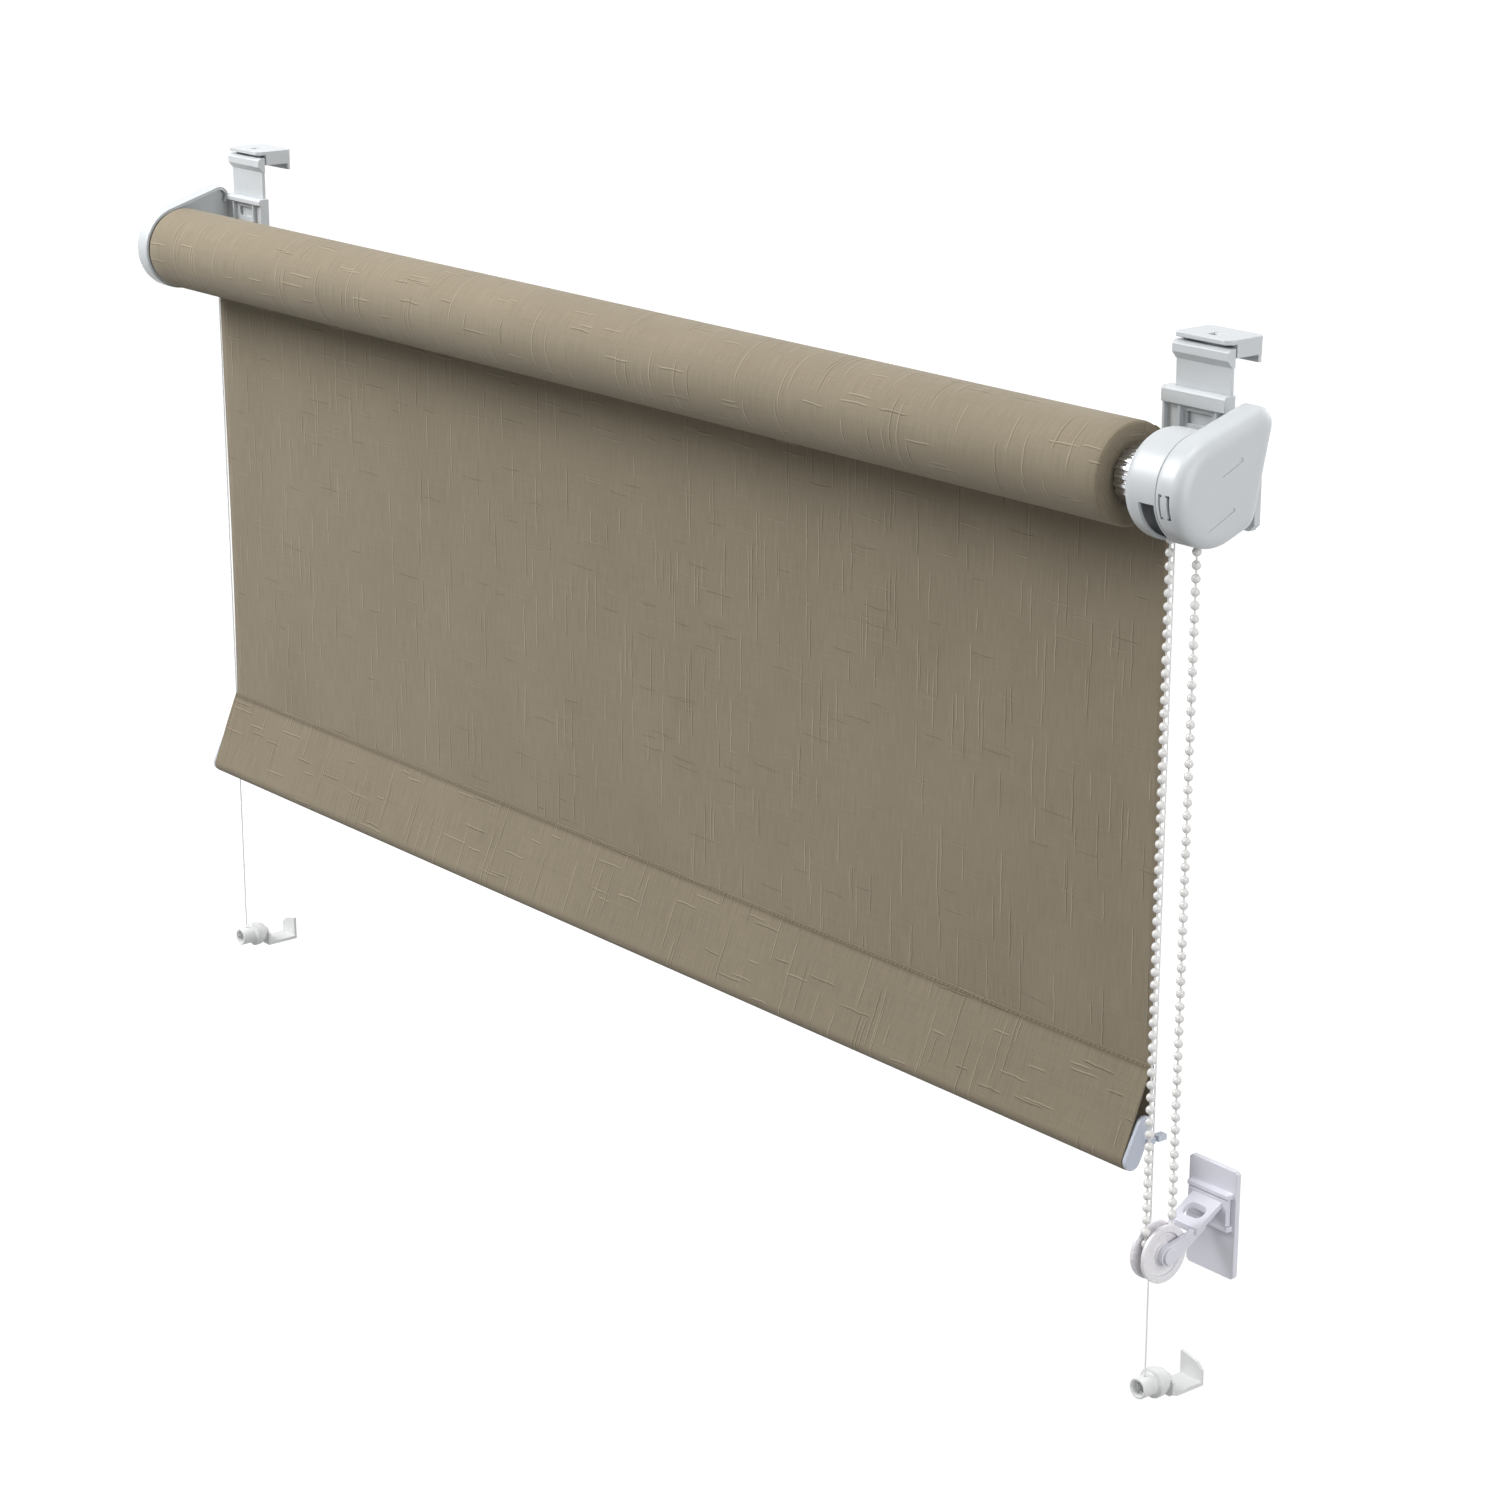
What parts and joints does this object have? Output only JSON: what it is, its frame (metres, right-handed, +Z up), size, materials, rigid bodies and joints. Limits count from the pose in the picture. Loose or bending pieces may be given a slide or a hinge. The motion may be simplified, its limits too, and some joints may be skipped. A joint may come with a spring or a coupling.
{
  "type": "mini roller blind",
  "caption": "Small roller blind that hooks over an opening window's sash, with a bead chain, chain tensioner and guide wires clipped under the sash.",
  "frame": {"origin": "on the sash's top front edge, midway along the cloth, level with the hooks' seats", "axes": "+X along the roller to the chain side, +Y into the window, +Z up"},
  "size_m": [0.8683, 0.0817, 0.5082],
  "materials": {
    "white_plastic": "satin moulded, cool white",
    "cap_plastic": "satin moulded, bluish white",
    "tensioner_plastic": "satin moulded, faint lavender white",
    "clear_plastic": "milky, slightly see-through",
    "linen_cloth": "taupe linen-look weave with slubs",
    "tube_aluminium": "mill finish",
    "ring_aluminium": "bright, fluted",
    "bar_aluminium": "mill finish",
    "spring_steel": "plain",
    "hook_foam": "closed-cell foam",
    "tape_foam": "double-sided foam tape",
    "guide_nylon": "clear nylon"
  },
  "bodies": {
    "frame": {"clutch_core": "white_plastic", "brake_spring_inner": "spring_steel", "brake_spring_outer": "spring_steel", "chain_guard": "white_plastic", "clutch_bracket": "white_plastic", "clutch_cover": "white_plastic", "idle_bracket": "white_plastic", "idle_cover": "white_plastic", "idle_pin": "white_plastic", "clutch_hook_strap": "white_plastic", "clutch_hook_pad": "hook_foam", "idle_hook_strap": "white_plastic", "idle_hook_pad": "hook_foam", "bead_chain": "clear_plastic", "tensioner_plate": "tensioner_plastic", "tensioner_tape": "tape_foam", "tensioner_arm": "tensioner_plastic", "tensioner_axle": "clear_plastic", "hanging_cloth": "linen_cloth", "clutch_guide_wire": "guide_nylon", "clutch_wire_stop": "spring_steel", "clutch_sash_clip": "white_plastic", "idle_guide_wire": "guide_nylon", "idle_wire_stop": "spring_steel", "idle_sash_clip": "white_plastic"},
    "roller": {"roller_tube": "tube_aluminium", "fabric_spline": "white_plastic", "fabric_roll": "linen_cloth", "drive_plug": "ring_aluminium", "chain_sprocket": "white_plastic", "idle_plug": "white_plastic", "idle_spring": "spring_steel"},
    "bottom_rail": {"hem_pocket": "linen_cloth", "bottom_bar": "bar_aluminium", "clutch_rail_cap": "cap_plastic", "idle_rail_cap": "cap_plastic"},
    "wheel": {"tensioner_wheel": "clear_plastic"},
    "clutch_barrel": {"clutch_tension_barrel": "white_plastic"},
    "idle_barrel": {"idle_tension_barrel": "white_plastic"},
    "clutch_cap": {"clutch_hook_cap": "white_plastic"},
    "idle_cap": {"idle_hook_cap": "white_plastic"}
  },
  "joints": [
    {"name": "roller_spin", "type": "hinge", "parent": "frame", "child": "roller", "pos_m": [0, -0.038, -0.049], "axis": [1, 0, 0], "range_deg": [-241, 526.5]},
    {"name": "bottom_rail_slide", "type": "slide", "parent": "frame", "child": "bottom_rail", "axis": [0, 0, 1], "range_m": [-0.1, 0.2185], "deforming": ["hanging_cloth"]},
    {"name": "tensioner_wheel_spin", "type": "hinge", "parent": "frame", "child": "wheel", "pos_m": [0.431, -0.038, -0.40545], "axis": [1, 0, 0], "range_deg": [-242, 527]},
    {"name": "clutch_barrel_turn", "type": "hinge", "parent": "frame", "child": "clutch_barrel", "pos_m": [0.402, -0.0135, -0.4925], "axis": [0, 1, 0], "range_deg": [-360, 360]},
    {"name": "idle_barrel_turn", "type": "hinge", "parent": "frame", "child": "idle_barrel", "pos_m": [-0.402, -0.0135, -0.4925], "axis": [0, 1, 0], "range_deg": [-360, 360]},
    {"name": "clutch_cap_slide", "type": "slide", "parent": "frame", "child": "clutch_cap", "axis": [0, 1, 0], "range_m": [0, 0.004]},
    {"name": "idle_cap_slide", "type": "slide", "parent": "frame", "child": "idle_cap", "axis": [0, 1, 0], "range_m": [0, 0.004]}
  ],
  "couplings": [
    {"joint": "roller_spin", "follows": "bottom_rail_slide", "rad_per_m": 42.017},
    {"joint": "tensioner_wheel_spin", "follows": "bottom_rail_slide", "rad_per_m": 42.017}
  ]
}
